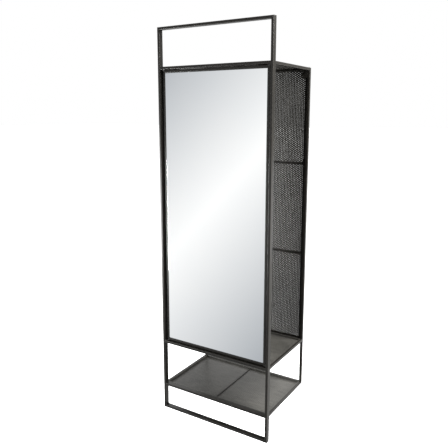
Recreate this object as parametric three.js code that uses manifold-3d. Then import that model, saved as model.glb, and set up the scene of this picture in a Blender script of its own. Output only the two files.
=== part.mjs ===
// Wall-hung bathroom cabinet with a mirror door, in millimetres, +Z up.
// A tall front frame of flat steel tube carries a shallow box frame of square tube behind it.
// Drawn with the front face on Y = 0 and the bottom on Z = 0, then moved so that the origin is
// the centre of the upper rear rail's wall face.
import * as THREE from 'three';
import { mergeVertices } from 'three/addons/utils/BufferGeometryUtils.js';
import Module from 'manifold-3d';

const wasm = await Module();
wasm.setup();

// ---- driving dimensions ----
const WIDTH = 380;              // outside of the frame, X
const DEPTH = 250;              // front face to wall, Y
const HEIGHT = 1200;            // front frame, Z
const GAP = 0.3;                // between touching pieces

const FLAT_TUBE = { across: 8, deep: 16, wall: 1.2, radius: 1.5, boreRadius: 0.5 };
const SQUARE_TUBE = { across: 8, deep: 8, wall: 1.0, radius: 1.2, boreRadius: 0.4 };
const TUBE = 8;                 // face width that both tubes share

const CABINET_TOP = 1088;       // top of the header rail and the top rails
const FLOOR_TOP = 234;          // top of the sill rail and the floor rails
const SHELF_TOP = 86;           // top of the lower shelf's rails
const SHEET = 1;                // perforated steel sheet
const ROD = 2.5;                // brace rods welded to the sheets
const BORDER = { side: 9, bottom: 5, thick: 1.5 };  // flat border on the back sheet's edges

const DOOR_RECESS = 8;          // door front behind the frame's front
const DOOR_GAP = 4;             // beside the door
const DOOR_END_GAP = 1.5;       // above and below the door
const DOOR_STOP_GAP = 1.5;      // from the door's back to the catch and the bumper
const GLASS_RECESS = 1;
const GLASS = 4;
const PAD = 1;
const BOARD = 6;

const FIXING_RISE = 260;        // pads and tabs above and below the door's middle
const PAD_AREA = { wide: 280, high: 60 };
const TAB = { reach: 14, high: 18, thick: 1.2 };

const PIN_RADIUS = 1.5;
const PIN_HOLE_RADIUS = 1.8;
const PIN_END_CLEARANCE = 3;    // from a pin's end to the bottom of its hole's plug
const PIVOT_SETBACK = 5;        // pivot axis behind the door's front face
const WASHER_RADIUS = 3.6;
const PLUG_HEAD = 2;
const DOOR_PLUG_LENGTH = 16;
const POST_PLUG_LENGTH = 10;

const HANGER = { wide: 18, high: 21.7, thick: 2, slotWide: 6.5, slotHigh: 12, sheetMargin: 0.75 };
const HANGER_COVER = 1;         // plate that hides the screw head, flush with the rear posts
const CATCH = { wide: 36, deep: 14, high: 13, fromEdge: 14 };
const CATCH_BRACKET = { thick: 1.5, belowTop: 6.5, flange: 4, overhang: 1 };
const MAGNET = { wide: 24, high: 7, deep: 5, setback: 0.2 };
const STRIKE = { wide: 30, high: 7, thick: 1 };
const STOP = { wide: 20, thick: 1.5, rise: 20, fromEdge: 14 };
const BUMPER_RADIUS = 3.5;

const BACK_BAYS = 3;            // bays of the back sheet, divided by its braces
const ARC_STEPS = 4;            // facets in a tube's rounded corner
const ROD_SIDES = 16;
const WASHER_SIDES = 24;
const MERGE_DISTANCE = 1e-4;    // points closer than this are one corner
const JOIN = 0.5;               // how far joined solids run into each other
const THROUGH = 1;              // how far a cutting tool runs past what it cuts

// ---- levels worked out from them ----
const halfWidth = WIDTH / 2;
const innerHalf = halfWidth - TUBE;
const rearFront = DEPTH - TUBE;             // front face of the rear posts
const railBack = FLAT_TUBE.deep;            // rear face of the front frame
const door = {
  left: -innerHalf + DOOR_GAP,
  right: innerHalf - DOOR_GAP,
  bottom: FLOOR_TOP + DOOR_END_GAP,
  top: CABINET_TOP - TUBE - DOOR_END_GAP,
  front: DOOR_RECESS,
  back: DOOR_RECESS + FLAT_TUBE.deep,
};
const pivot = { x: door.left + TUBE / 2, y: door.front + PIVOT_SETBACK };

// ---- materials ----
const paint = (color, roughness = 0.42) =>
  new THREE.MeshStandardMaterial({ color, roughness, metalness: 0.35 });
const finishes = {
  frame: () => paint(0x2e2d2b),
  sheet: () => paint(0x3a3937, 0.55),
  mirror: () => new THREE.MeshStandardMaterial({ color: 0xdfe3e8, roughness: 0.03, metalness: 1 }),
  board: () => new THREE.MeshStandardMaterial({ color: 0x23211f, roughness: 0.8, metalness: 0 }),
  foam: () => new THREE.MeshStandardMaterial({ color: 0xb9b7b0, roughness: 0.9, metalness: 0 }),
  nylon: () => new THREE.MeshStandardMaterial({ color: 0x191919, roughness: 0.5, metalness: 0 }),
  steel: () => new THREE.MeshStandardMaterial({ color: 0x9a9c9f, roughness: 0.3, metalness: 1 }),
  magnet: () => new THREE.MeshStandardMaterial({ color: 0x4a4a4c, roughness: 0.6, metalness: 0.6 }),
  rubber: () => new THREE.MeshStandardMaterial({ color: 0x151515, roughness: 0.85, metalness: 0 }),
};

// ---- solid helpers ----
function toSolid(geometry) {
  const bare = geometry.clone();
  bare.deleteAttribute('normal');
  bare.deleteAttribute('uv');
  const merged = mergeVertices(bare, MERGE_DISTANCE);
  return new wasm.Manifold(new wasm.Mesh({
    numProp: 3,
    vertProperties: new Float32Array(merged.attributes.position.array),
    triVerts: new Uint32Array(merged.index.array),
  }));
}

function toGeometry(solid) {
  const mesh = solid.getMesh();
  const geometry = new THREE.BufferGeometry();
  geometry.setAttribute('position', new THREE.BufferAttribute(mesh.vertProperties, 3));
  geometry.setIndex(new THREE.BufferAttribute(mesh.triVerts, 1));
  geometry.computeVertexNormals();
  return geometry;
}

function cut(geometry, ...tools) {
  return toGeometry(tools.reduce((solid, tool) => solid.subtract(toSolid(tool)), toSolid(geometry)));
}

function box(low, high) {
  const size = high.map((value, i) => value - low[i]);
  const centre = high.map((value, i) => (value + low[i]) / 2);
  return new THREE.BoxGeometry(...size).translate(...centre);
}

// A rounded rectangle centred on the origin, as a Shape or, for a hole, a Path.
function roundedOutline(Kind, wide, high, radius) {
  const outline = new Kind();
  const x = wide / 2 - radius;
  const y = high / 2 - radius;
  outline.absarc(x, y, radius, 0, Math.PI / 2);
  outline.absarc(-x, y, radius, Math.PI / 2, Math.PI);
  outline.absarc(-x, -y, radius, Math.PI, 1.5 * Math.PI);
  outline.absarc(x, -y, radius, 1.5 * Math.PI, 2 * Math.PI);
  outline.closePath();
  return outline;
}

// An open tube from start to end along one axis. x, y and z give its centre line; the one on the
// tube's own axis is a pair. Its narrow side is across, its wide side points front to back.
function tube(section, { x, y, z }) {
  const outline = roundedOutline(THREE.Shape, section.across, section.deep, section.radius);
  const bore = roundedOutline(
    THREE.Path,
    section.across - 2 * section.wall,
    section.deep - 2 * section.wall,
    section.boreRadius,
  );
  outline.holes.push(bore);
  const extrude = (span) => new THREE.ExtrudeGeometry(outline, {
    depth: span[1] - span[0], bevelEnabled: false, curveSegments: ARC_STEPS,
  });
  if (Array.isArray(z)) return extrude(z).translate(x, y, z[0]);
  if (Array.isArray(x)) return extrude(x).rotateY(Math.PI / 2).translate(x[0], y, z);
  return extrude(y).rotateX(-Math.PI / 2).translate(x, y[0], z);
}

function rod(radius, { x, y, z }, sides = ROD_SIDES) {
  const span = [x, y, z].find(Array.isArray);
  const cylinder = new THREE.CylinderGeometry(radius, radius, span[1] - span[0], sides);
  const middle = (span[0] + span[1]) / 2;
  if (Array.isArray(x)) return cylinder.rotateZ(Math.PI / 2).translate(middle, y, z);
  if (Array.isArray(y)) return cylinder.translate(x, middle, z);
  return cylinder.rotateX(Math.PI / 2).translate(x, y, middle);
}

// A tube's end plug with its head's outer face on Z = 0 and its stem upwards, inside the tube's bore.
function endPlug(section, length) {
  const outline = roundedOutline(THREE.Shape, section.across, section.deep, section.radius);
  const head = new THREE.ExtrudeGeometry(outline, {
    depth: PLUG_HEAD, bevelEnabled: false, curveSegments: ARC_STEPS,
  });
  const halfAcross = section.across / 2 - section.wall - GAP;
  const halfDeep = section.deep / 2 - section.wall - GAP;
  const stem = box([-halfAcross, -halfDeep, PLUG_HEAD - JOIN], [halfAcross, halfDeep, length]);
  return toGeometry(toSolid(head).add(toSolid(stem)));
}

// An outline in the Y-Z plane, extruded along X.
function profileAlongX(points, xStart, xEnd) {
  const shape = new THREE.Shape(points.map(([y, z]) => new THREE.Vector2(y, z)));
  const basis = new THREE.Matrix4().makeBasis(
    new THREE.Vector3(0, 1, 0), new THREE.Vector3(0, 0, 1), new THREE.Vector3(1, 0, 0),
  );
  return new THREE.ExtrudeGeometry(shape, { depth: xEnd - xStart, bevelEnabled: false })
    .applyMatrix4(basis).translate(xStart, 0, 0);
}

// Everything on the far side of a 45 degree plane through a frame corner, to cut away.
// sideways and upward are +1 or -1 and point out of the frame at that corner; the part that stays
// is the post's end or the rail's end.
function mitreTool(cornerX, cornerZ, sideways, upward, stays) {
  const reach = 60;
  const flip = stays === 'post' ? 1 : -1;
  const normal = new THREE.Vector3(-sideways * flip, 0, upward * flip).normalize();
  const turn = new THREE.Quaternion().setFromUnitVectors(new THREE.Vector3(0, 0, 1), normal);
  const back = normal.clone().multiplyScalar(-GAP / 2);
  return box([-reach, -reach, 0], [reach, reach, reach])
    .applyQuaternion(turn).translate(cornerX + back.x, 0, cornerZ + back.z);
}

// ---- the assembly ----
const cabinet = new THREE.Group();
cabinet.position.set(0, -DEPTH, -(CABINET_TOP - TUBE / 2));

function add(name, geometry, finish) {
  const mesh = new THREE.Mesh(geometry, finishes[finish]());
  mesh.name = name;
  cabinet.add(mesh);
}

const sides = [['left', -1], ['right', 1]];
const postX = halfWidth - TUBE / 2;
const flatY = FLAT_TUBE.deep / 2;
const squareY = DEPTH - TUBE / 2;

// Front frame: two posts and two end rails, mitred at the four corners.
for (const [side, sign] of sides) {
  const post = tube(FLAT_TUBE, { x: sign * postX, y: flatY, z: [0, HEIGHT] });
  add(`front_post_${side}`, cut(
    post,
    mitreTool(sign * halfWidth, HEIGHT, sign, 1, 'post'),
    mitreTool(sign * halfWidth, 0, sign, -1, 'post'),
  ), 'frame');
}
for (const [name, cornerZ, upward] of [['top', HEIGHT, 1], ['bottom', 0, -1]]) {
  const rail = tube(FLAT_TUBE, {
    x: [-halfWidth, halfWidth], y: flatY, z: cornerZ - upward * TUBE / 2,
  });
  add(`front_rail_${name}`, cut(
    rail,
    mitreTool(halfWidth, cornerZ, 1, upward, 'rail'),
    mitreTool(-halfWidth, cornerZ, -1, upward, 'rail'),
  ), 'frame');
}

// Three inner rails, butted between the posts; the door's pivot pins enter the header and the sill.
const pinHole = (z) => rod(PIN_HOLE_RADIUS, { x: pivot.x, y: pivot.y, z });
const innerSpan = [-innerHalf + GAP, innerHalf - GAP];
const headerZ = CABINET_TOP - TUBE / 2;
const sillZ = FLOOR_TOP - TUBE / 2;
const shelfZ = SHELF_TOP - TUBE / 2;
const innerRail = (z) => tube(FLAT_TUBE, { x: innerSpan, y: flatY, z });
add('front_rail_header', cut(innerRail(headerZ), pinHole([headerZ - TUBE, headerZ])), 'frame');
add('front_rail_sill', cut(innerRail(sillZ), pinHole([sillZ, sillZ + TUBE])), 'frame');
add('front_rail_shelf', innerRail(shelfZ), 'frame');

// Rear posts stop at the lower shelf, and are closed by plastic end plugs.
for (const [side, sign] of sides) {
  const low = shelfZ - TUBE / 2;
  const high = CABINET_TOP;
  add(`rear_post_${side}`, tube(SQUARE_TUBE, {
    x: sign * postX, y: squareY, z: [low + PLUG_HEAD + GAP, high - PLUG_HEAD - GAP],
  }), 'frame');
  for (const [end, z, into] of [['top', high, -1], ['bottom', low, 1]]) {
    const plug = endPlug(SQUARE_TUBE, POST_PLUG_LENGTH);
    if (into < 0) plug.rotateX(Math.PI);
    add(`rear_post_plug_${side}_${end}`, plug.translate(sign * postX, squareY, z), 'nylon');
  }
}

// Side and rear rails at the cabinet top, the cabinet floor and the lower shelf.
for (const [level, z] of [['top', headerZ], ['floor', sillZ], ['shelf', shelfZ]]) {
  for (const [side, sign] of sides) {
    add(`side_rail_${level}_${side}`, tube(SQUARE_TUBE, {
      x: sign * postX, y: [railBack + GAP, rearFront - GAP], z,
    }), 'frame');
  }
  add(`rear_rail_${level}`, tube(SQUARE_TUBE, { x: innerSpan, y: squareY, z }), 'frame');
}

// Level perforated sheets: a flat one flush with the tops of the top rails, and two trays between
// the rails below, whose edges turn up. A brace rod crosses each tray.
const trayHeight = TUBE - 2 * GAP;
const edgeInset = SHEET + GAP;              // clear of a tray's turned-up edge
const levelSheet = (inset, low, high) => box(
  [-innerHalf + GAP + inset, railBack + GAP + inset, low],
  [innerHalf - GAP - inset, rearFront - GAP - inset, high],
);
const topSheetLow = CABINET_TOP - GAP - SHEET;
add('top_panel', levelSheet(0, topSheetLow, topSheetLow + SHEET), 'sheet');
for (const [level, railTop] of [['floor', FLOOR_TOP], ['shelf', SHELF_TOP]]) {
  const low = railTop - TUBE + GAP;
  add(`${level}_panel`, cut(
    levelSheet(0, low, low + trayHeight),
    levelSheet(SHEET, low + SHEET, low + trayHeight + THROUGH),
  ), 'sheet');
  add(`${level}_brace`, rod(ROD / 2, {
    x: 0,
    y: [railBack + GAP + edgeInset, rearFront - GAP - edgeInset],
    z: low + SHEET + GAP + ROD / 2,
  }), 'frame');
}

// Back sheet at the wall side, with a slot behind each hanger plate. A flat border covers its edges
// below the hanger plates, and two braces cross it between the border's uprights.
const sheetBack = DEPTH - GAP;
const sheetFront = sheetBack - SHEET;
const railBelow = CABINET_TOP - TUBE;
const slotZ = railBelow - GAP - HANGER.high / 2;
const slotX = innerHalf - GAP - HANGER.wide / 2;
function slot(x, margin, front, back) {
  const wide = HANGER.slotWide + 2 * margin;
  const high = HANGER.slotHigh + 2 * margin;
  const almostHalf = wide / 2 - 0.01;
  const outline = roundedOutline(THREE.Shape, wide, high, almostHalf);
  return new THREE.ExtrudeGeometry(outline, {
    depth: back - front + 2 * THROUGH, bevelEnabled: false, curveSegments: ARC_STEPS + 1,
  }).rotateX(Math.PI / 2).translate(x, back + THROUGH, slotZ);
}
add('back_panel', cut(
  box([-innerHalf + GAP, sheetFront, FLOOR_TOP + GAP], [innerHalf - GAP, sheetBack, railBelow - GAP]),
  ...sides.map(([, sign]) => slot(sign * slotX, HANGER.sheetMargin, sheetFront, sheetBack)),
), 'sheet');
const borderBack = sheetFront - GAP;
const borderPlate = (side, bottom, front, back, top) => box(
  [-innerHalf + GAP + side, front, FLOOR_TOP + GAP + bottom],
  [innerHalf - GAP - side, back, top],
);
const borderTop = slotZ - HANGER.high / 2 - GAP;
add('back_border', cut(
  borderPlate(0, 0, borderBack - BORDER.thick, borderBack, borderTop),
  borderPlate(
    BORDER.side, BORDER.bottom, borderBack - BORDER.thick - THROUGH, borderBack + THROUGH,
    borderTop + THROUGH,
  ),
), 'frame');
const bay = (CABINET_TOP - FLOOR_TOP) / BACK_BAYS;
const braceHalf = innerHalf - GAP - BORDER.side - GAP;
for (const [name, count] of [['lower', 1], ['upper', 2]]) {
  add(`back_brace_${name}`, rod(ROD / 2, {
    x: [-braceHalf, braceHalf], y: sheetFront - GAP - ROD / 2, z: FLOOR_TOP + count * bay,
  }), 'frame');
}

// Slotted hanger plates in the upper rear corners, in front of the back sheet. A cover plate
// in front of each leaves room for the screw's head.
for (const [side, sign] of sides) {
  const back = sheetFront - GAP;
  const front = back - HANGER.thick;
  const plate = box(
    [sign * slotX - HANGER.wide / 2, front, slotZ - HANGER.high / 2],
    [sign * slotX + HANGER.wide / 2, back, slotZ + HANGER.high / 2],
  );
  add(`hanger_plate_${side}`, cut(plate, slot(sign * slotX, 0, front, back)), 'frame');
  add(`hanger_cover_${side}`, box(
    [sign * slotX - HANGER.wide / 2, rearFront + GAP, slotZ - HANGER.high / 2],
    [sign * slotX + HANGER.wide / 2, rearFront + GAP + HANGER_COVER, slotZ + HANGER.high / 2],
  ), 'frame');
}

// Mirror door: two stiles, two rails, glass on foam pads, and a board held by four tabs.
const stileY = (door.front + door.back) / 2;
const stileX = { hinge: door.left + TUBE / 2, latch: door.right - TUBE / 2 };
for (const [side, x] of Object.entries(stileX)) {
  add(`door_stile_${side}`, tube(FLAT_TUBE, {
    x, y: stileY, z: [door.bottom + PLUG_HEAD + GAP, door.top - PLUG_HEAD - GAP],
  }), 'frame');
}
const opening = {
  left: door.left + TUBE, right: door.right - TUBE, bottom: door.bottom + TUBE, top: door.top - TUBE,
};
for (const [level, z] of [['bottom', door.bottom + TUBE / 2], ['top', door.top - TUBE / 2]]) {
  add(`door_rail_${level}`, tube(FLAT_TUBE, {
    x: [opening.left + GAP, opening.right - GAP], y: stileY, z,
  }), 'frame');
}
const glassFront = door.front + GLASS_RECESS;
const padFront = glassFront + GLASS + GAP;
const boardFront = padFront + PAD + GAP;
const layer = (front, thick, inset) => box(
  [opening.left + inset, front, opening.bottom + inset],
  [opening.right - inset, front + thick, opening.top - inset],
);
add('mirror_glass', layer(glassFront, GLASS, GAP), 'mirror');
add('mirror_board', layer(boardFront, BOARD, 2 * GAP), 'board');
const openingMiddle = (opening.bottom + opening.top) / 2;
for (const [name, up] of [['lower', -1], ['upper', 1]]) {
  const z = openingMiddle + up * FIXING_RISE;
  add(`mirror_pad_${name}`, box(
    [-PAD_AREA.wide / 2, padFront, z - PAD_AREA.high / 2],
    [PAD_AREA.wide / 2, padFront + PAD, z + PAD_AREA.high / 2],
  ), 'foam');
}
const tabFront = boardFront + BOARD + GAP;
for (const [side, x, inward] of [['hinge', opening.left, 1], ['latch', opening.right, -1]]) {
  for (const [name, up] of [['lower', -1], ['upper', 1]]) {
    const z = openingMiddle + up * FIXING_RISE;
    const ends = [x + inward * GAP, x + inward * TAB.reach].sort((a, b) => a - b);
    add(`board_tab_${side}_${name}`, box(
      [ends[0], tabFront, z - TAB.high / 2], [ends[1], tabFront + TAB.thick, z + TAB.high / 2],
    ), 'frame');
  }
}

// Stile end plugs; the hinge stile's two are drilled as the pivot bearings.
for (const [side, x] of Object.entries(stileX)) {
  for (const [end, z, into] of [['top', door.top, -1], ['bottom', door.bottom, 1]]) {
    let plug = endPlug(FLAT_TUBE, DOOR_PLUG_LENGTH);
    if (into < 0) plug.rotateX(Math.PI);
    plug.translate(x, stileY, z);
    if (side === 'hinge') {
      const ends = [z - into * THROUGH, z + into * (DOOR_PLUG_LENGTH + THROUGH)];
      plug = cut(plug, pinHole(ends.sort((a, b) => a - b)));
    }
    add(`stile_plug_${side}_${end}`, plug, 'nylon');
  }
}

// Pivot pins held in the sill and the header, and the nylon washer that the door turns on.
const pinInside = TUBE - FLAT_TUBE.wall - GAP;
const pinReach = DOOR_END_GAP + DOOR_PLUG_LENGTH - PIN_END_CLEARANCE;
add('pivot_pin_lower', rod(PIN_RADIUS, {
  x: pivot.x, y: pivot.y, z: [FLOOR_TOP - pinInside, FLOOR_TOP + pinReach],
}), 'steel');
add('pivot_pin_upper', rod(PIN_RADIUS, {
  x: pivot.x, y: pivot.y, z: [railBelow - pinReach, railBelow + pinInside],
}), 'steel');
add('pivot_washer_lower', cut(
  rod(WASHER_RADIUS, { x: pivot.x, y: pivot.y, z: [FLOOR_TOP + GAP, door.bottom - GAP] }, WASHER_SIDES),
  pinHole([FLOOR_TOP, door.bottom]),
), 'nylon');

// Magnetic catch under the header at the latch side.
const catchRight = innerHalf - CATCH.fromEdge;
const catchLeft = catchRight - CATCH.wide;
const catchFront = door.back + DOOR_STOP_GAP + GAP;
const bracket = {
  front: railBack + GAP,
  back: catchFront + CATCH.deep + CATCH_BRACKET.overhang,
  low: CABINET_TOP - CATCH_BRACKET.belowTop,
};
add('catch_bracket', profileAlongX([
  [bracket.front, bracket.low],
  [bracket.back, bracket.low],
  [bracket.back, bracket.low + CATCH_BRACKET.thick],
  [bracket.front + CATCH_BRACKET.thick, bracket.low + CATCH_BRACKET.thick],
  [bracket.front + CATCH_BRACKET.thick, bracket.low + CATCH_BRACKET.flange],
  [bracket.front, bracket.low + CATCH_BRACKET.flange],
], catchLeft, catchRight), 'frame');
const housingTop = bracket.low - GAP;
const catchMiddle = (catchLeft + catchRight) / 2;
const magnetZ = (door.top + opening.top) / 2;
const pocket = (margin, front, back) => box(
  [catchMiddle - MAGNET.wide / 2 - margin, front, magnetZ - MAGNET.high / 2 - margin],
  [catchMiddle + MAGNET.wide / 2 + margin, back, magnetZ + MAGNET.high / 2 + margin],
);
add('catch_housing', cut(
  box([catchLeft, catchFront, housingTop - CATCH.high], [catchRight, catchFront + CATCH.deep, housingTop]),
  pocket(GAP, catchFront - THROUGH, catchFront + MAGNET.deep + GAP),
), 'nylon');
add('catch_magnet', pocket(0, catchFront + MAGNET.setback, catchFront + MAGNET.deep), 'magnet');
add('catch_strike_plate', box(
  [catchMiddle - STRIKE.wide / 2, door.back + GAP, magnetZ - STRIKE.high / 2],
  [catchMiddle + STRIKE.wide / 2, door.back + GAP + STRIKE.thick, magnetZ + STRIKE.high / 2],
), 'steel');

// Stop bracket on the floor tray, with a rubber bumper behind the door's lower latch corner.
const stopRight = innerHalf - STOP.fromEdge;
const stopLeft = stopRight - STOP.wide;
const stopFloor = FLOOR_TOP - TUBE + GAP + SHEET + GAP;
const stopFront = railBack + GAP + edgeInset;
const lipFront = door.back + GAP + DOOR_STOP_GAP + GAP;
add('door_stop', profileAlongX([
  [stopFront, stopFloor],
  [lipFront + STOP.thick, stopFloor],
  [lipFront + STOP.thick, stopFloor + STOP.rise],
  [lipFront, stopFloor + STOP.rise],
  [lipFront, stopFloor + STOP.thick],
  [stopFront, stopFloor + STOP.thick],
], stopLeft, stopRight), 'frame');
add('door_bumper', rod(BUMPER_RADIUS, {
  x: (stopLeft + stopRight) / 2, y: [door.back + GAP, lipFront - GAP], z: door.bottom + TUBE / 2,
}), 'rubber');

export default cabinet;
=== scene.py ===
"""Looks for the wall-hung mirror cabinet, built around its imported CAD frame. Metres, +Z up."""
import math

import bmesh
import bpy
from mathutils import Matrix, Vector
from mathutils.geometry import delaunay_2d_cdt


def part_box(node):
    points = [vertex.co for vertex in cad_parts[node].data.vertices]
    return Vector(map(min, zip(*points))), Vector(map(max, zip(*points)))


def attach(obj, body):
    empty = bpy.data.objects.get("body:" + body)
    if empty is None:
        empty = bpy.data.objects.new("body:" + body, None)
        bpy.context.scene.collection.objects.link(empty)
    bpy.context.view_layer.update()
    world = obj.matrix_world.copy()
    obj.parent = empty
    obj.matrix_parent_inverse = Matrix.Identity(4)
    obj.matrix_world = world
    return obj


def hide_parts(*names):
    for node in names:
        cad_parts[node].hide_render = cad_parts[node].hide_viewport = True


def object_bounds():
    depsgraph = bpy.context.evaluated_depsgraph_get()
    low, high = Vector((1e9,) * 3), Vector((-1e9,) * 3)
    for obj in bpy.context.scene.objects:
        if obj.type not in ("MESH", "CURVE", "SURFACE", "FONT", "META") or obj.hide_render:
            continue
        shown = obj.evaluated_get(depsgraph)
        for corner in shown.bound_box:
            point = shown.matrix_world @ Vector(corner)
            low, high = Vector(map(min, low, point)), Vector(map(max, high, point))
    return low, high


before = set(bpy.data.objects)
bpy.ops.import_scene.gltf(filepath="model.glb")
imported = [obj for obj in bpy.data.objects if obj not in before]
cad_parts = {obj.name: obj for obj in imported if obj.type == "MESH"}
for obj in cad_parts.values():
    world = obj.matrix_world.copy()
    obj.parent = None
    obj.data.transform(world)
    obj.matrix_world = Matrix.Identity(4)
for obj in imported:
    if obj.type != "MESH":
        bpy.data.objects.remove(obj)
cad_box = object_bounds()

MM = 0.001
X, Y, Z = 0, 1, 2
CABINET, DOOR = "cabinet", "door"

# ---- sizes that only the looks need ----
GAP = 0.3 * MM                  # what the CAD leaves between touching pieces
FLAT_RADIUS = 1.5 * MM          # rounded edges of the flat tube
SQUARE_RADIUS = 1.2 * MM        # rounded edges of the square tube
CORNER_STEPS = 5
WELD_LEG = 1.3 * MM
WELD_STEPS = 16
HOLE_PITCH = 6 * MM             # perforated sheet, 60 degree stagger
HOLE_RADIUS = 0.82 * MM
HOLE_SIDES = 6
PLAIN_MARGIN = 5 * MM           # unperforated edge of a sheet
SEAM = 0.4 * MM                 # between the sheets of the back
SHEET_TUCK = 1.3 * MM           # how far a sheet's edge runs on into the tubes' rounded corners
SLOT_WIDE, SLOT_HIGH = 8 * MM, 13.5 * MM
SAME_POINT = 1e-7               # points of a sheet's outline closer than this are one
ROD_SIDES = 28
RIM_STEPS = 4
RIM_SOFTENING = 0.35            # rounding of a tray's rim, as a share of the sheet
WELD_INSET = 1.6 * MM           # how far a weld stops short of a tube's corners
WELD_BURIED = 0.25              # how far it runs into the tubes, as a share of its leg
WELD_BULGE = 0.62               # how far its face stands out, as a share of its leg
WELD_RIPPLE = 0.09
PLATE_RIM = 1.5 * MM            # unperforated edge round a hanger plate
RIVET_SIDES = 24
RIVET_PROFILE = [               # (radius, rise) in mm, from the hollow middle out to the foot
    (0.0, 0.55), (0.55, 0.6), (0.7, 1.0), (1.5, 0.95), (2.2, 0.6), (2.6, 0.15), (2.6, 0.0),
]
ROD_DOME = 0.35                 # depth of a rod's domed end, as a share of its radius
ROD_END = [(0.0, 0.55), (0.35, 0.85), (1.0, 1.0)]   # (share of the dome, share of the radius)
ROUNDING = {                    # edges of the pieces that keep the CAD's own shapes
    "plate": 0.35 * MM,
    "thin plate": 0.25 * MM,
    "folded plate": 0.3 * MM,
    "plug": 0.5 * MM,
    "board": 0.5 * MM,
    "housing": 0.8 * MM,
    "magnet": 0.4 * MM,
    "pin": 0.4 * MM,
    "bumper": 0.6 * MM,
    "glass": 0.6 * MM,
    "pad": 0.25 * MM,
}
SAME_CORNER = 0.005 * MM        # corners of a CAD node closer than this are one
FLAT_ANGLE = math.radians(1)    # faces of a CAD node flatter than this to each other are joined
HARD_ANGLE = math.radians(40)   # edges sharper than this are rounded
CREASE_ANGLE = math.radians(35)  # edges sharper than this are shaded as edges

# ---- studio ----
CAMERA_PLACE = (0.8245, -1.5034, -0.1375)
CAMERA_YAW = 31.776             # degrees, turned from +Y towards -X
CAMERA_PITCH = -10.071
CAMERA_ROLL = 0.138
SENSOR = 36.0
LENS = 42.27
SHIFT = (-0.0044, -0.0328)
FLOOR_DROP = 0.45               # the cabinet hangs this far above the floor
FLOOR_REACH = 60.0
BAND_SLANT = Vector((-2, 1, 2)).normalized()   # a white band runs round this direction
BAND_MIDDLE = -1.5              # degrees above the plane across BAND_SLANT
WARM, COOL = Vector((1.0, 1.0, 0.99)), Vector((0.945, 1.0, 1.06))
# (degrees to either side of the band's middle, brightness, coolness) of the walls in front
SOFT_BAND = [(15, 0.5, 1), (22, 0.35, 0), (40, 0.35, 0), (60, 1.0, 0)]
BAND_LEVEL = 1.15
# (height of the view direction, brightness) of the walls behind
REAR_LEVELS = [
    (-0.9, 1.1), (-0.45, 1.2), (-0.2, 0.9), (0.0, 0.45), (0.18, 0.5), (0.32, 1.5), (0.45, 2.1),
    (0.7, 1.5), (0.95, 1.0),
]
FRONT_ENDS, REAR_STARTS = -0.1, 0.25   # Y of the view direction where one fades into the other
LIGHTS_AIM = Vector((0, -0.12, -0.45))
# azimuth, elevation, distance, size and watts of each area light
SOFTBOXES = {
    "left_softbox": (-50.4, -9.4, 1.65, (0.33, 0.66), 52),
    "right_softbox": (152, -9, 1.6, (0.6, 0.6), 2.1),
    "key_softbox": (90, 42, 1.7, (0.9, 0.9), 150),
    "fill_softbox": (95, 3, 1.6, (0.8, 0.8), 48),
}
OVERHEAD_STRENGTH = 1.9
OVERHEAD_SPREAD = math.radians(50)


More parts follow.
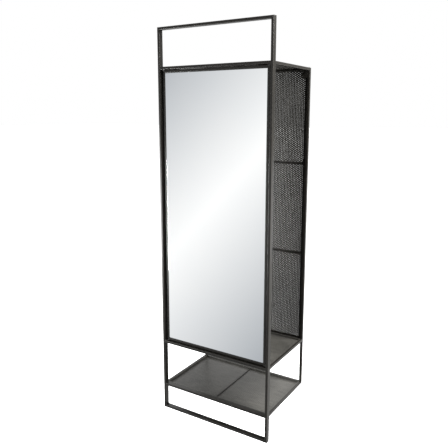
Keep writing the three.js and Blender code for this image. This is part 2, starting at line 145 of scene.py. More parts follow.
# =====================================================================
# Materials
# =====================================================================
class Finish:
    """A Principled material with short calls for the procedural parts of a finish."""

    def __init__(self, name, roughness, metallic=0.0, ior=1.5):
        self.material = bpy.data.materials.new(name)
        self.material.use_nodes = True
        self.tree = self.material.node_tree
        self.shader = self.tree.nodes["Principled BSDF"]
        self.shader.inputs["Roughness"].default_value = roughness
        self.shader.inputs["Metallic"].default_value = metallic
        self.shader.inputs["IOR"].default_value = ior
        self.place = self.node("ShaderNodeTexCoord").outputs["Object"]

    def node(self, kind):
        return self.tree.nodes.new(kind)

    def link(self, source, target):
        self.tree.links.new(source, target)

    def stretched(self, factors):
        """The object's own coordinates, scaled differently along X, Y and Z."""
        mapping = self.node("ShaderNodeMapping")
        mapping.inputs["Scale"].default_value = factors
        self.link(self.place, mapping.inputs["Vector"])
        return mapping.outputs["Vector"]

    def noise(self, scale, detail=2.0, place=None):
        node = self.node("ShaderNodeTexNoise")
        node.inputs["Scale"].default_value = scale
        node.inputs["Detail"].default_value = detail
        self.link(place or self.place, node.inputs["Vector"])
        return node.outputs["Fac"]

    def cells(self, scale):
        node = self.node("ShaderNodeTexVoronoi")
        node.inputs["Scale"].default_value = scale
        self.link(self.place, node.inputs["Vector"])
        return node.outputs["Distance"]

    def ramp(self, source, stops):
        """stops is a list of (position, colour or grey)."""
        node = self.node("ShaderNodeValToRGB")
        elements = node.color_ramp.elements
        while len(elements) < len(stops):
            elements.new(0.5)
        for element, (position, colour) in zip(elements, stops):
            grey = not hasattr(colour, "__len__")
            element.position = position
            element.color = (colour,) * 3 + (1,) if grey else (*colour, 1)
        self.link(source, node.inputs["Fac"])
        return node.outputs["Color"]

    def mix(self, amount, first, second, blend="MIX"):
        """Mixes two colours; each is a socket or a colour, and amount is a socket or a number."""
        node = self.node("ShaderNodeMix")
        node.data_type = "RGBA"
        node.blend_type = blend
        for value, index in ((amount, 0), (first, 6), (second, 7)):
            if isinstance(value, bpy.types.NodeSocket):
                self.link(value, node.inputs[index])
            else:
                node.inputs[index].default_value = value if index == 0 else (*value, 1)
        return node.outputs[2]

    def attribute(self, name):
        node = self.node("ShaderNodeAttribute")
        node.attribute_name = name
        return node.outputs["Fac"]

    def colour(self, source):
        self.link(source, self.shader.inputs["Base Color"])

    def roughness(self, source, low, high):
        node = self.node("ShaderNodeMapRange")
        node.inputs["To Min"].default_value = low
        node.inputs["To Max"].default_value = high
        self.link(source, node.inputs["Value"])
        self.link(node.outputs["Result"], self.shader.inputs["Roughness"])

    def bump(self, source, depth, strength=1.0):
        node = self.node("ShaderNodeBump")
        node.inputs["Distance"].default_value = depth
        node.inputs["Strength"].default_value = strength
        self.link(source, node.inputs["Height"])
        self.link(node.outputs["Normal"], self.shader.inputs["Normal"])


def powder_coat(name, dark, light, edge, roughness, ior, hole_shade_stretch=None, hole_shade_dark=0.55):
    """Satin powder coat: slow tone drift, orange peel, and a thinner, lighter film along edges.
    On perforated sheet it also gets dark streaks along the rows of holes: painted shade, standing in
    for the shade inside the holes; the stretch factors lay them along the rows."""
    finish = Finish(name, sum(roughness) / 2, ior=ior)
    drift = finish.noise(9, 4)
    body = finish.ramp(drift, [(0.3, dark), (0.7, light)])
    worn = finish.mix(finish.attribute("edge"), body, edge)
    speckle = finish.ramp(finish.noise(900, 1), [(0.42, 0.86), (0.62, 1.0)])
    coat = finish.mix(0.6, worn, speckle, "MULTIPLY")
    # painted shade: dark streaks along the rows of holes stand in for the shade inside the holes
    if hole_shade_stretch:
        rows = finish.noise(190, 1, finish.stretched(hole_shade_stretch))
        coat = finish.mix(1.0, coat, finish.ramp(rows, [(0.38, hole_shade_dark), (0.62, 1.0)]), "MULTIPLY")
    finish.colour(coat)
    finish.roughness(finish.noise(45, 3), *roughness)
    finish.bump(finish.noise(700, 2), 0.02 * MM, 0.3)
    return finish.material


def mirror_silver():
    finish = Finish("mirror_silver", 0.015, metallic=1.0)
    haze = finish.noise(5, 3)
    finish.colour(finish.ramp(haze, [(0.35, (0.875, 0.885, 0.895)), (0.7, (0.89, 0.895, 0.9))]))
    finish.roughness(finish.noise(16, 2), 0.008, 0.022)
    return finish.material


def glass_edge():
    finish = Finish("glass_edge", 0.12)
    streak = finish.noise(60, 2)
    finish.colour(finish.ramp(streak, [(0.3, (0.03, 0.07, 0.06)), (0.7, (0.08, 0.15, 0.13))]))
    return finish.material


def backing_board():
    """Dark laminate with a faint vertical grain."""
    finish = Finish("backing_board", 0.62)
    grain = finish.noise(60, 5, finish.stretched((9, 9, 0.7)))
    finish.colour(finish.ramp(grain, [(0.3, (0.012, 0.011, 0.01)), (0.75, (0.032, 0.029, 0.026))]))
    finish.roughness(grain, 0.5, 0.72)
    finish.bump(grain, 0.06 * MM, 0.6)
    return finish.material


def foam():
    finish = Finish("foam", 0.95)
    pores = finish.cells(1500)
    finish.colour(finish.ramp(pores, [(0.0, (0.3, 0.29, 0.27)), (0.5, (0.5, 0.49, 0.46))]))
    finish.bump(pores, 0.2 * MM, 0.7)
    return finish.material


def moulded(name, dark, light, roughness, grain, depth):
    """Moulded plastic or rubber with a fine spark-eroded grain."""
    finish = Finish(name, sum(roughness) / 2)
    finish.colour(finish.ramp(finish.noise(150, 3), [(0.3, dark), (0.75, light)]))
    finish.roughness(finish.noise(300, 2), *roughness)
    finish.bump(finish.noise(grain, 2), depth, 0.6)
    return finish.material


def brushed_steel(name, dark, light):
    finish = Finish(name, 0.3, metallic=1.0)
    lines = finish.noise(300, 3, finish.stretched((0.15, 4, 4)))
    finish.colour(finish.ramp(lines, [(0.3, dark), (0.7, light)]))
    finish.roughness(lines, 0.22, 0.4)
    finish.bump(lines, 0.01 * MM, 0.5)
    return finish.material


def ferrite():
    finish = Finish("ferrite", 0.55, metallic=0.5)
    sparkle = finish.cells(2500)
    finish.colour(finish.ramp(sparkle, [(0.1, (0.09, 0.09, 0.1)), (0.6, (0.045, 0.045, 0.05))]))
    finish.bump(finish.noise(1200, 3), 0.05 * MM, 0.6)
    return finish.material


# dark, light and edge colours, roughness from and to, IOR
SHEET_COAT = (
    (0.027, 0.0258, 0.0226), (0.0405, 0.0387, 0.0345), (0.047, 0.045, 0.04), (0.38, 0.48), 1.42,
)
FINISHES = {
    "frame_paint": powder_coat(
        "frame_paint", (0.005, 0.0046, 0.0039), (0.008, 0.0074, 0.0062), (0.012, 0.011, 0.0095),
        (0.26, 0.34), 1.29,
    ),
    # both sheet finishes carry painted shade: dark streaks along their rows of holes
    "mesh_sheet": powder_coat("mesh_sheet", *SHEET_COAT, hole_shade_stretch=(1, 1, 0.06)),
    "level_mesh_sheet": powder_coat(
        "level_mesh_sheet", *SHEET_COAT, hole_shade_stretch=(0.12, 1, 1), hole_shade_dark=0.7,
    ),
    "mirror": mirror_silver(),
    "glass_edge": glass_edge(),
    "backing_board": backing_board(),
    "foam": foam(),
    "black_nylon": moulded(
        "black_nylon", (0.01, 0.01, 0.01), (0.018, 0.018, 0.018), (0.38, 0.5), 1100, 0.03 * MM,
    ),
    "bare_steel": brushed_steel("bare_steel", (0.42, 0.43, 0.44), (0.62, 0.63, 0.64)),
    "dark_steel": brushed_steel("dark_steel", (0.02, 0.02, 0.022), (0.05, 0.05, 0.053)),
    "magnet": ferrite(),
    "rubber": moulded(
        "rubber", (0.008, 0.008, 0.008), (0.014, 0.014, 0.013), (0.7, 0.85), 800, 0.05 * MM,
    ),
}


# =====================================================================
# Meshes
# =====================================================================
def smooth_object(name, mesh, slot, body, nodes=(), finish=None):
    """Makes the piece, shades it smooth between its hard edges, ties it to body and hides the CAD nodes
    it replaces.
    finish is given where it is not the slot's own."""
    mesh.polygons.foreach_set("use_smooth", [True] * len(mesh.polygons))
    mesh.set_sharp_from_angle(angle=CREASE_ANGLE)
    piece = bpy.data.objects.new(name, mesh)
    bpy.context.scene.collection.objects.link(piece)
    piece.data.materials.append(FINISHES[finish or slot])
    weighted = piece.modifiers.new("flat faces stay flat", "WEIGHTED_NORMAL")
    weighted.keep_sharp = True
    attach(piece, body)
    if nodes:
        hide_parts(*nodes)
    return piece


def to_mesh(bm, name):
    bmesh.ops.recalc_face_normals(bm, faces=bm.faces)
    mesh = bpy.data.meshes.new(name)
    bm.to_mesh(mesh)
    bm.free()
    return mesh


def rounded_rectangle(low, high, radius):
    """Points anticlockwise round a rectangle, each with how far round its corner it is, 0 to 1."""
    points = []
    for turn in range(4):
        across = (high, low, low, high)[turn][0]
        up = (high, high, low, low)[turn][1]
        centre = (across + (-radius, radius, radius, -radius)[turn],
                  up + (-radius, -radius, radius, radius)[turn])
        for step in range(CORNER_STEPS + 1):
            share = step / CORNER_STEPS
            angle = (turn + share) * math.pi / 2
            edge = math.sin(share * math.pi)
            points.append((centre[0] + radius * math.cos(angle),
                           centre[1] + radius * math.sin(angle), edge))
    return points


def tube_mesh(name, low, high, axis, radius, mitres=(None, None)):
    """A closed tube along axis. A mitre is (cross axis, outer coordinate) of a 45 degree end."""
    u, v = [a for a in range(3) if a != axis]
    outline = rounded_rectangle((low[u], low[v]), (high[u], high[v]), radius)
    bm = bmesh.new()
    edge = bm.verts.layers.float.new("edge")
    rings = []
    for end, inward, mitre in ((low[axis], 1, mitres[0]), (high[axis], -1, mitres[1])):
        ring = []
        for across, up, share in outline:
            point = Vector()
            point[u], point[v], point[axis] = across, up, end
            if mitre:
                point[axis] += inward * abs(point[mitre[0]] - mitre[1])
            vertex = bm.verts.new(point)
            vertex[edge] = share
            ring.append(vertex)
        rings.append(ring)
    count = len(outline)
    for i in range(count):
        j = (i + 1) % count
        bm.faces.new((rings[0][i], rings[0][j], rings[1][j], rings[1][i]))
    for ring in rings:
        bm.faces.new(ring)
    return to_mesh(bm, name)


def tube(node, axis, radius, body=CABINET, extend=0.0, mitres=(None, None)):
    """Replaces a tube node, running extend further at both ends to close the CAD's gaps."""
    low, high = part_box(node)
    low[axis] -= extend
    high[axis] += extend
    mesh = tube_mesh(node + "_tube", low, high, axis, radius, mitres)
    return smooth_object(node + "_tube", mesh, "frame_paint", body, [node])


def softened(node, bevel, slot, body, name=None, steps=3):
    """A CAD node's own shape with its flat faces joined up and its hard edges rounded."""
    bm = bmesh.new()
    bm.from_mesh(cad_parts[node].data)
    bmesh.ops.remove_doubles(bm, verts=bm.verts, dist=SAME_CORNER)
    bmesh.ops.dissolve_limit(bm, angle_limit=FLAT_ANGLE, verts=bm.verts, edges=bm.edges)
    hard = [e for e in bm.edges
            if len(e.link_faces) == 2 and e.calc_face_angle(0) > HARD_ANGLE]
    bmesh.ops.bevel(
        bm, geom=hard, offset=bevel, segments=steps, profile=0.5, affect="EDGES",
        clamp_overlap=True,
    )
    mesh = to_mesh(bm, name or node + "_piece")
    return smooth_object(name or node + "_piece", mesh, slot, body, [node])


def rod_mesh(name, start, end, radius):
    """A round rod with slightly domed ends."""
    axis = (end - start).normalized()
    side = axis.orthogonal().normalized()
    other = axis.cross(side)
    dome = ROD_DOME * radius
    length = (end - start).length
    stations = [(dome * share, radius_share) for share, radius_share in ROD_END]
    stations += [(length - along, share) for along, share in reversed(stations)]
    bm = bmesh.new()
    rings = []
    for along, share in stations:
        ring = []
        for i in range(ROD_SIDES):
            angle = 2 * math.pi * i / ROD_SIDES
            out = side * math.cos(angle) + other * math.sin(angle)
            ring.append(bm.verts.new(start + axis * along + out * radius * share))
        rings.append(ring)
    for first, second in zip(rings, rings[1:]):
        for i in range(ROD_SIDES):
            j = (i + 1) % ROD_SIDES
            bm.faces.new((first[i], first[j], second[j], second[i]))
    bm.faces.new(rings[0])
    bm.faces.new(rings[-1])
    return to_mesh(bm, name)


def brace(node, axis):
    low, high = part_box(node)
    start = (low + high) / 2
    end = start.copy()
    start[axis] = low[axis] - GAP
    end[axis] = high[axis] + GAP
    other = next(a for a in range(3) if a != axis)
    radius = (high[other] - low[other]) / 2
    mesh = rod_mesh(node + "_rod", start, end, radius)
    smooth_object(node + "_rod", mesh, "frame_paint", CABINET, [node])


# ---- perforated sheet ----
def hole_centres(low, high, pitch):
    """A 60 degree staggered pattern with its rows along the second axis, centred in the field."""
    spacing = pitch * math.sqrt(3) / 2
    columns = int((high[0] - low[0]) / spacing)
    rows = int((high[1] - low[1]) / pitch - 0.5)
    first = (low[0] + high[0]) / 2 - columns * spacing / 2
    start = (low[1] + high[1]) / 2 - (rows + 0.5) * pitch / 2
    for column in range(columns + 1):
        shift = 0.5 * (column % 2)
        for row in range(rows + 1):
            yield first + column * spacing, start + (row + shift) * pitch


def regular_loop(centre, radius, sides):
    turn = math.pi / sides
    return [(centre[0] + radius * math.cos(turn + 2 * math.pi * k / sides),
             centre[1] + radius * math.sin(turn + 2 * math.pi * k / sides))
            for k in range(sides)]


def obround_loop(centre, wide, high, steps=8):
    """A slot with round ends, standing up."""
    radius = wide / 2
    straight = high / 2 - radius
    points = []
    for end, start in ((1, 0), (-1, math.pi)):
        for k in range(steps + 1):
            angle = start + math.pi * k / steps
            points.append((centre[0] + radius * math.cos(angle),
                           centre[1] + end * straight + radius * math.sin(angle)))
    return points


def lifted(points, u, v, normal, level):
    """Flat points (along axes u and v) as places in space, at level along normal."""
    places = []
    for point in points:
        place = Vector()
        place[u], place[v], place[normal] = point[0], point[1], level
        places.append(place)
    return places


def perforated_mesh(name, low, high, normal, slots=(), keep_clear=()):
    """A flat sheet with a staggered field of round holes and, if it has them, slots."""
    u, v = [a for a in range(3) if a != normal]
    field_low = (low[u] + PLAIN_MARGIN, low[v] + PLAIN_MARGIN)
    field_high = (high[u] - PLAIN_MARGIN, high[v] - PLAIN_MARGIN)
    loops = [[(low[u], low[v]), (high[u], low[v]), (high[u], high[v]), (low[u], high[v])]]
    loops += slots
    for centre in hole_centres(field_low, field_high, HOLE_PITCH):
        if any(a[0] < centre[0] < b[0] and a[1] < centre[1] < b[1] for a, b in keep_clear):
            continue
        loops.append(regular_loop(centre, HOLE_RADIUS, HOLE_SIDES))
    points, edges, owner = [], [], []
    for index, loop in enumerate(loops):
        base = len(points)
        count = len(loop)
        points += [Vector(p) for p in loop]
        owner += [index] * count
        edges += [(base + k, base + (k + 1) % count) for k in range(count)]
    _, _, triangles, origins, _, _ = delaunay_2d_cdt(points, edges, [], 0, SAME_POINT)
    source = [o[0] for o in origins]
    kept = []
    for triangle in triangles:
        a, b, c = (source[i] for i in triangle)
        if owner[a] == owner[b] == owner[c] != 0:
            continue
        kept.append((a, b, c))
    count = len(points)
    faces = [(a, c, b) for a, b, c in kept] + [(a + count, b + count, c + count) for a, b, c in kept]
    faces += [(a, b, b + count, a + count) for a, b in edges]
    mesh = bpy.data.meshes.new(name)
    near = lifted(points, u, v, normal, low[normal])
    far = lifted(points, u, v, normal, high[normal])
    mesh.from_pydata(near + far, [], faces)
    bm = bmesh.new()
    bm.from_mesh(mesh)
    bmesh.ops.recalc_face_normals(bm, faces=bm.faces)
    bm.to_mesh(mesh)
    bm.free()
    return mesh


def sheet(name, node, low, high, normal, slots=(), keep_clear=()):
    mesh = perforated_mesh(name, low, high, normal, slots, keep_clear)
    finish = "level_mesh_sheet" if normal == Z else "mesh_sheet"
    smooth_object(name, mesh, "mesh_sheet", CABINET, [node], finish)


# ---- welds ----
def add_weld(bm, start, end, first, second):
    """A rippled fillet from start to end in the corner between two faces that run along
    first and second, which are unit vectors."""
    buried = -WELD_BURIED * WELD_LEG * (first + second)
    foot = 0.1 * WELD_LEG
    rings = []
    for k in range(WELD_STEPS + 1):
        along = k / WELD_STEPS
        taper = min(1.0, 6 * min(along, 1 - along) + 0.35)
        ripple = 1 + WELD_RIPPLE * math.sin(along * math.pi * WELD_STEPS / 2)
        size = WELD_LEG * taper * ripple
        centre = start.lerp(end, along)
        section = [buried, first * size - second * foot]
        for step in range(1, 4):
            angle = step / 4 * math.pi / 2
            reach = WELD_BULGE * size
            section.append(first * reach * math.cos(angle) + second * reach * math.sin(angle))
        section.append(second * size - first * foot)
        rings.append([bm.verts.new(centre + offset) for offset in section])
    for near, far in zip(rings, rings[1:]):
        for i in range(len(near)):
            j = (i + 1) % len(near)
            bm.faces.new((near[i], near[j], far[j], far[i]))
    bm.faces.new(rings[0])
    bm.faces.new(rings[-1])


def axis_vector(axis, sign=1):
    vector = Vector()
    vector[axis] = sign
    return vector


def weld_rail_ends(bm, node, axis, run):
    """Fillets on both broad faces of a rail where its ends meet the posts; run is the fillet's axis."""
    low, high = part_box(node)
    up = next(a for a in range(3) if a not in (axis, run))
    for end, inward in ((low[axis] - GAP, 1), (high[axis] + GAP, -1)):
        for face, outward in ((low[up], -1), (high[up], 1)):
            start, finish = Vector(), Vector()
            start[axis] = finish[axis] = end
            start[up] = finish[up] = face
            start[run], finish[run] = low[run] + WELD_INSET, high[run] - WELD_INSET
            add_weld(bm, start, finish, axis_vector(axis, inward), axis_vector(up, outward))


# =====================================================================
# The cabinet
# =====================================================================
def build_frame():
    """Posts, loop rails with mitred corners, and the butted rails between them."""
    frame_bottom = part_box("front_rail_bottom")[0].z
    frame_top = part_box("front_rail_top")[1].z
    for side, corner in (("left", 0), ("right", 1)):
        node = f"front_post_{side}"
        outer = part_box(node)[corner].x
        low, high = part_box(node)
        low.z, high.z = frame_bottom, frame_top
        mesh = tube_mesh(node + "_tube", low, high, Z, FLAT_RADIUS, ((X, outer), (X, outer)))
        smooth_object(node + "_tube", mesh, "frame_paint", CABINET, [node])
        tube(f"rear_post_{side}", Z, SQUARE_RADIUS, extend=GAP)
    outer_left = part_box("front_post_left")[0].x
    outer_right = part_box("front_post_right")[1].x
    for level, outer_z in (("top", frame_top), ("bottom", frame_bottom)):
        node = f"front_rail_{level}"
        low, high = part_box(node)
        low.x, high.x = outer_left, outer_right
        mesh = tube_mesh(node + "_tube", low, high, X, FLAT_RADIUS, ((Z, outer_z), (Z, outer_z)))
        smooth_object(node + "_tube", mesh, "frame_paint", CABINET, [node])
    for level in ("header", "sill", "shelf"):
        tube(f"front_rail_{level}", X, FLAT_RADIUS, extend=GAP + FLAT_RADIUS)
    for level in ("top", "floor", "shelf"):
        tube(f"rear_rail_{level}", X, SQUARE_RADIUS, extend=GAP + SQUARE_RADIUS)
        for side in ("left", "right"):
            tube(f"side_rail_{level}_{side}", Y, SQUARE_RADIUS, extend=GAP + SQUARE_RADIUS)


def build_welds():
    bm = bmesh.new()
    for level in ("header", "sill", "shelf"):
        weld_rail_ends(bm, f"front_rail_{level}", X, Y)
    for level in ("top", "floor", "shelf"):
        weld_rail_ends(bm, f"rear_rail_{level}", X, Y)
        for side in ("left", "right"):
            weld_rail_ends(bm, f"side_rail_{level}_{side}", Y, X)
    loop_corners(bm)
    mesh = to_mesh(bm, "cabinet_welds")
    smooth_object("cabinet_welds", mesh, "frame_paint", CABINET)
    bm = bmesh.new()
    for level in ("top", "bottom"):
        weld_rail_ends(bm, f"door_rail_{level}", X, Y)
    mesh = to_mesh(bm, "door_welds")
    smooth_object("door_welds", mesh, "frame_paint", DOOR)


def loop_corners(bm):
    """Fillets inside the four mitred corners of the front frame."""
    for side, near, inward in (("left", 1, 1), ("right", 0, -1)):
        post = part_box(f"front_post_{side}")
        for level, edge, upward in (("top", 0, -1), ("bottom", 1, 1)):
            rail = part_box(f"front_rail_{level}")
            start = Vector((post[near].x, rail[0].y + WELD_INSET, rail[edge].z))
            finish = start.copy()
            finish.y = rail[1].y - WELD_INSET
            add_weld(bm, start, finish, axis_vector(X, inward), axis_vector(Z, upward))


def tray_rim(level, thick):
    """A tray's turned-up edge: an upright strip round its four sides, with a rounded top."""
    node = f"{level}_panel"
    low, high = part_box(node)
    soft = RIM_SOFTENING * thick
    arc = [(soft - soft * math.cos(a), soft * math.sin(a) - soft)
           for a in (k / RIM_STEPS * math.pi / 2 for k in range(RIM_STEPS + 1))]
    section = [(0, low.z - high.z + thick / 2), *arc]
    section += [(thick + GAP - inset, rise) for inset, rise in reversed(section)]
    outer = [(low.x - GAP, low.y - GAP), (high.x + GAP, low.y - GAP),
             (high.x + GAP, high.y + GAP), (low.x - GAP, high.y + GAP)]
    inward = [(1, 1), (-1, 1), (-1, -1), (1, -1)]
    bm = bmesh.new()
    edge = bm.verts.layers.float.new("edge")
    rings = []
    for (x, y), (dx, dy) in zip(outer, inward):
        ring = []
        for inset, rise in section:
            vertex = bm.verts.new((x + dx * inset, y + dy * inset, high.z + rise))
            vertex[edge] = 1.0 if rise > -soft / 2 else 0.0
            ring.append(vertex)
        rings.append(ring)
    for near, far in zip(rings, rings[1:] + rings[:1]):
        for i in range(len(near)):
            j = (i + 1) % len(near)
            bm.faces.new((near[i], near[j], far[j], far[i]))
    name = f"{level}_tray_rim"
    smooth_object(name, to_mesh(bm, name), "mesh_sheet", CABINET, [node], "level_mesh_sheet")


def build_sheets():
    top_low, top_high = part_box("top_panel")
    thick = top_high.z - top_low.z
    for level in ("top", "floor", "shelf"):
        low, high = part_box(f"{level}_panel")
        high.z = low.z + thick
        reach = Vector((GAP + SHEET_TUCK, GAP + SHEET_TUCK, 0))
        sheet(f"{level}_perforated_sheet", f"{level}_panel", low - reach, high + reach, Z)
    for level in ("floor", "shelf"):
        tray_rim(level, thick)
        brace(f"{level}_brace", Y)
    for level in ("lower", "upper"):
        brace(f"back_brace_{level}", X)
    build_back()


def build_back():
    """The back is three sheets whose seams lie behind the braces. The upper one has the screw slots."""
    low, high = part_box("back_panel")
    seams = [sum(corner.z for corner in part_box(f"back_brace_{level}")) / 2
             for level in ("lower", "upper")]
    slots, clear = [], []
    for side in ("left", "right"):
        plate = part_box(f"hanger_plate_{side}")
        centre = ((plate[0].x + plate[1].x) / 2, (plate[0].z + plate[1].z) / 2)
        slots.append(obround_loop(centre, SLOT_WIDE, SLOT_HIGH))
        clear.append(((plate[0].x - PLATE_RIM, plate[0].z - PLATE_RIM),
                      (plate[1].x + PLATE_RIM, plate[1].z + PLATE_RIM)))
    reach = GAP + SHEET_TUCK
    levels = [low.z - reach, *seams, high.z + reach]
    for bay, bottom, top in zip(("lower", "middle", "upper"), levels, levels[1:]):
        bay_low = Vector((low.x - reach, low.y, bottom + SEAM / 2))
        bay_high = Vector((high.x + reach, high.y, top - SEAM / 2))
        cut = slots if bay == "upper" else []
        sheet(f"back_perforated_sheet_{bay}", "back_panel", bay_low, bay_high, Y, cut, clear)


def build_fittings():
    for side in ("left", "right"):
        softened(f"hanger_plate_{side}", ROUNDING["plate"], "frame_paint", CABINET)
        softened(f"hanger_cover_{side}", ROUNDING["thin plate"], "frame_paint", CABINET)
        for end in ("top", "bottom"):
            softened(f"rear_post_plug_{side}_{end}", ROUNDING["plug"], "black_nylon", CABINET)
    # the back border is a dark strip over the back sheet's edges, partly painted shadow: it stands in
    # for the rear posts' and rails' shade on the sheet
    softened("back_border", ROUNDING["folded plate"], "frame_paint", CABINET)
    softened("catch_bracket", ROUNDING["folded plate"], "frame_paint", CABINET)
    softened("catch_housing", ROUNDING["housing"], "black_nylon", CABINET)
    softened("catch_magnet", ROUNDING["magnet"], "magnet", CABINET)
    softened("door_stop", ROUNDING["plate"], "frame_paint", CABINET)
    softened("door_bumper", ROUNDING["bumper"], "rubber", CABINET)
    for end in ("lower", "upper"):
        softened(f"pivot_pin_{end}", ROUNDING["pin"], "dark_steel", CABINET)
    softened("pivot_washer_lower", ROUNDING["pad"], "black_nylon", CABINET)


# =====================================================================
# The door
# =====================================================================
def build_door():
    for side in ("hinge", "latch"):
        tube(f"door_stile_{side}", Z, FLAT_RADIUS, DOOR, extend=GAP)
        for end in ("top", "bottom"):
            softened(f"stile_plug_{side}_{end}", ROUNDING["plug"], "black_nylon", DOOR)
        for end in ("lower", "upper"):
            softened(f"board_tab_{side}_{end}", ROUNDING["plate"], "frame_paint", DOOR)
    for level in ("top", "bottom"):
        tube(f"door_rail_{level}", X, FLAT_RADIUS, DOOR, extend=GAP + FLAT_RADIUS)
    glass = softened("mirror_glass", ROUNDING["glass"], "mirror", DOOR, "mirror_glass_sheet")
    glass.data.materials.append(FINISHES["glass_edge"])
    glass.data.materials.append(FINISHES["backing_board"])
    for face in glass.data.polygons:
        if face.normal.y > 0.9:
            face.material_index = 2
        elif face.normal.y > -0.9:
            face.material_index = 1
    softened("mirror_board", ROUNDING["board"], "backing_board", DOOR)
    for end in ("lower", "upper"):
        softened(f"mirror_pad_{end}", ROUNDING["pad"], "foam", DOOR)
    softened("catch_strike_plate", ROUNDING["folded plate"], "bare_steel", DOOR)
    build_rivets()


def build_rivets():
    """A dome-headed blind rivet through each tab into the board."""
    bm = bmesh.new()
    for side in ("hinge", "latch"):
        for end in ("lower", "upper"):
            low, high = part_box(f"board_tab_{side}_{end}")
            middle = (low + high) / 2
            base = Vector((middle.x, high.y - 0.05 * MM, middle.z))
            rings = []
            for radius, rise in RIVET_PROFILE[1:]:
                rings.append([bm.verts.new(base + Vector((
                    radius * MM * math.cos(2 * math.pi * k / RIVET_SIDES),
                    rise * MM,
                    radius * MM * math.sin(2 * math.pi * k / RIVET_SIDES),
                ))) for k in range(RIVET_SIDES)])
            tip = bm.verts.new(base + Vector((0, RIVET_PROFILE[0][1] * MM, 0)))
            for near, far in zip(rings, rings[1:]):
                for i in range(RIVET_SIDES):
                    j = (i + 1) % RIVET_SIDES
                    bm.faces.new((near[i], near[j], far[j], far[i]))
            for i in range(RIVET_SIDES):
                bm.faces.new((tip, rings[0][i], rings[0][(i + 1) % RIVET_SIDES]))
            bm.faces.new(rings[-1])
    smooth_object("tab_rivets", to_mesh(bm, "tab_rivets"), "bare_steel", DOOR)


# =====================================================================
# Studio
# =====================================================================
def build_floor():
    finish = Finish("studio_floor", 0.7)
    finish.colour(finish.ramp(finish.noise(3, 2), [(0.3, 0.88), (0.7, 0.9)]))
    bm = bmesh.new()
    bmesh.ops.create_grid(bm, x_segments=8, y_segments=8, size=FLOOR_REACH)
    mesh = bpy.data.meshes.new("studio_floor")
    bm.to_mesh(mesh)
    bm.free()
    mesh.materials.append(finish.material)
    floor = bpy.data.objects.new("studio_floor", mesh)
    bpy.context.scene.collection.objects.link(floor)
    floor.location = (0, 0, cad_box[0][2] - FLOOR_DROP)
    floor.visible_glossy = False


def world_ramp(tree, source, low, high, stops):
    """stops is a list of (value of source, colour), for source between low and high."""
    unit = tree.nodes.new("ShaderNodeMapRange")
    unit.inputs["From Min"].default_value = low
    unit.inputs["From Max"].default_value = high
    tree.links.new(source, unit.inputs["Value"])
    ramp = tree.nodes.new("ShaderNodeValToRGB")
    elements = ramp.color_ramp.elements
    while len(elements) < len(stops):
        elements.new(0.5)
    for element, (value, colour) in zip(elements, stops):
        element.position = (value - low) / (high - low)
        element.color = (*colour, 1)
    tree.links.new(unit.outputs["Result"], ramp.inputs["Fac"])
    return ramp.outputs["Color"]


def build_world():
    """A soft studio all round, and plain white for the camera. In front of the cabinet a soft
    white band slants across grey walls; behind it they fade from a bright floor line to a bright
    ceiling."""
    world = bpy.data.worlds.new("studio")
    bpy.context.scene.world = world
    world.use_nodes = True
    tree = world.node_tree
    tree.nodes.clear()
    place = tree.nodes.new("ShaderNodeTexCoord").outputs["Generated"]
    slant = tree.nodes.new("ShaderNodeVectorMath")
    slant.operation = "DOT_PRODUCT"
    slant.inputs[1].default_value = BAND_SLANT
    tree.links.new(place, slant.inputs[0])
    split = tree.nodes.new("ShaderNodeSeparateXYZ")
    tree.links.new(place, split.inputs[0])

    bands = [(BAND_MIDDLE, BAND_LEVEL, 0)]
    for away, level, coolness in SOFT_BAND:
        bands += [(BAND_MIDDLE + side * away, level, coolness) for side in (-1, 1)]
    front = world_ramp(tree, slant.outputs["Value"], -1, 1, [
        (math.sin(math.radians(angle)), level * WARM.lerp(COOL, coolness))
        for angle, level, coolness in sorted(bands)
    ])
    rear = world_ramp(tree, split.outputs["Z"], -1, 1, [(z, level * WARM) for z, level in REAR_LEVELS])
    side = world_ramp(tree, split.outputs["Y"], -1, 1, [
        (FRONT_ENDS, (0, 0, 0)), (REAR_STARTS, (1, 1, 1)),
    ])
    blend = tree.nodes.new("ShaderNodeMix")
    blend.data_type = "RGBA"
    tree.links.new(side, blend.inputs[0])
    tree.links.new(front, blend.inputs[6])
    tree.links.new(rear, blend.inputs[7])

    glow = tree.nodes.new("ShaderNodeBackground")
    tree.links.new(blend.outputs[2], glow.inputs["Color"])
    plain = tree.nodes.new("ShaderNodeBackground")
    plain.inputs["Color"].default_value = (1, 1, 1, 1)
    path = tree.nodes.new("ShaderNodeLightPath")
    mix = tree.nodes.new("ShaderNodeMixShader")
    tree.links.new(path.outputs["Is Camera Ray"], mix.inputs["Fac"])
    tree.links.new(glow.outputs["Background"], mix.inputs[1])
    tree.links.new(plain.outputs["Background"], mix.inputs[2])
    out = tree.nodes.new("ShaderNodeOutputWorld")
    tree.links.new(mix.outputs["Shader"], out.inputs["Surface"])


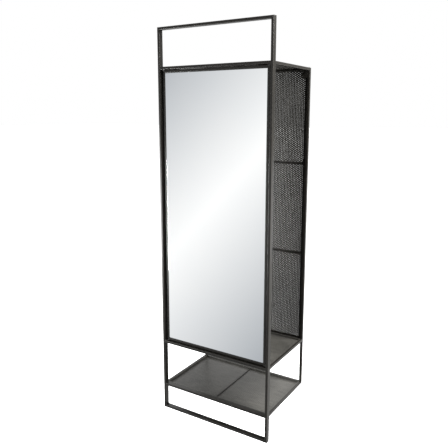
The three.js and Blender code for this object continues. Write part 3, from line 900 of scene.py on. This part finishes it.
def softbox(name, azimuth, elevation, distance, size, watts):
    """An area light turned to LIGHTS_AIM; azimuth is degrees from -Y towards +X, seen from there."""
    data = bpy.data.lights.new(name, "AREA")
    data.shape = "RECTANGLE"
    data.size, data.size_y = size
    data.energy = watts
    lamp = bpy.data.objects.new(name, data)
    bpy.context.scene.collection.objects.link(lamp)
    level = math.cos(math.radians(elevation))
    direction = Vector((
        level * math.sin(math.radians(azimuth)),
        -level * math.cos(math.radians(azimuth)),
        math.sin(math.radians(elevation)),
    ))
    lamp.location = LIGHTS_AIM + direction * distance
    lamp.rotation_euler = (-direction).to_track_quat("-Z", "Y").to_euler()
    lamp.visible_camera = False
    return lamp


def build_lights():
    """The fill light lifts the dark inner faces without showing in the level sheets' gloss."""
    for name, settings in SOFTBOXES.items():
        lamp = softbox(name, *settings)
        lamp.visible_glossy = name != "fill_softbox"
    overhead = bpy.data.lights.new("overhead", "SUN")
    overhead.energy = OVERHEAD_STRENGTH
    overhead.angle = OVERHEAD_SPREAD
    lamp = bpy.data.objects.new("overhead", overhead)
    bpy.context.scene.collection.objects.link(lamp)


def build_camera():
    yaw, pitch, roll = (math.radians(a) for a in (CAMERA_YAW, CAMERA_PITCH, CAMERA_ROLL))
    forward = Vector((
        -math.sin(yaw) * math.cos(pitch), math.cos(yaw) * math.cos(pitch), math.sin(pitch),
    ))
    level = Vector((math.cos(yaw), math.sin(yaw), 0))
    upright = level.cross(forward)
    right = level * math.cos(roll) + upright * math.sin(roll)
    up = upright * math.cos(roll) - level * math.sin(roll)
    data = bpy.data.cameras.new("camera")
    data.sensor_width = SENSOR
    data.lens = LENS
    data.shift_x, data.shift_y = SHIFT
    camera = bpy.data.objects.new("camera", data)
    bpy.context.scene.collection.objects.link(camera)
    turn = Matrix((right, up, -forward)).transposed().to_4x4()
    camera.matrix_world = Matrix.Translation(CAMERA_PLACE) @ turn
    bpy.context.scene.camera = camera


build_camera()
build_world()
build_floor()
build_lights()
build_frame()
build_welds()
build_sheets()
build_fittings()
build_door()
bpy.context.scene.view_settings.view_transform = "Standard"
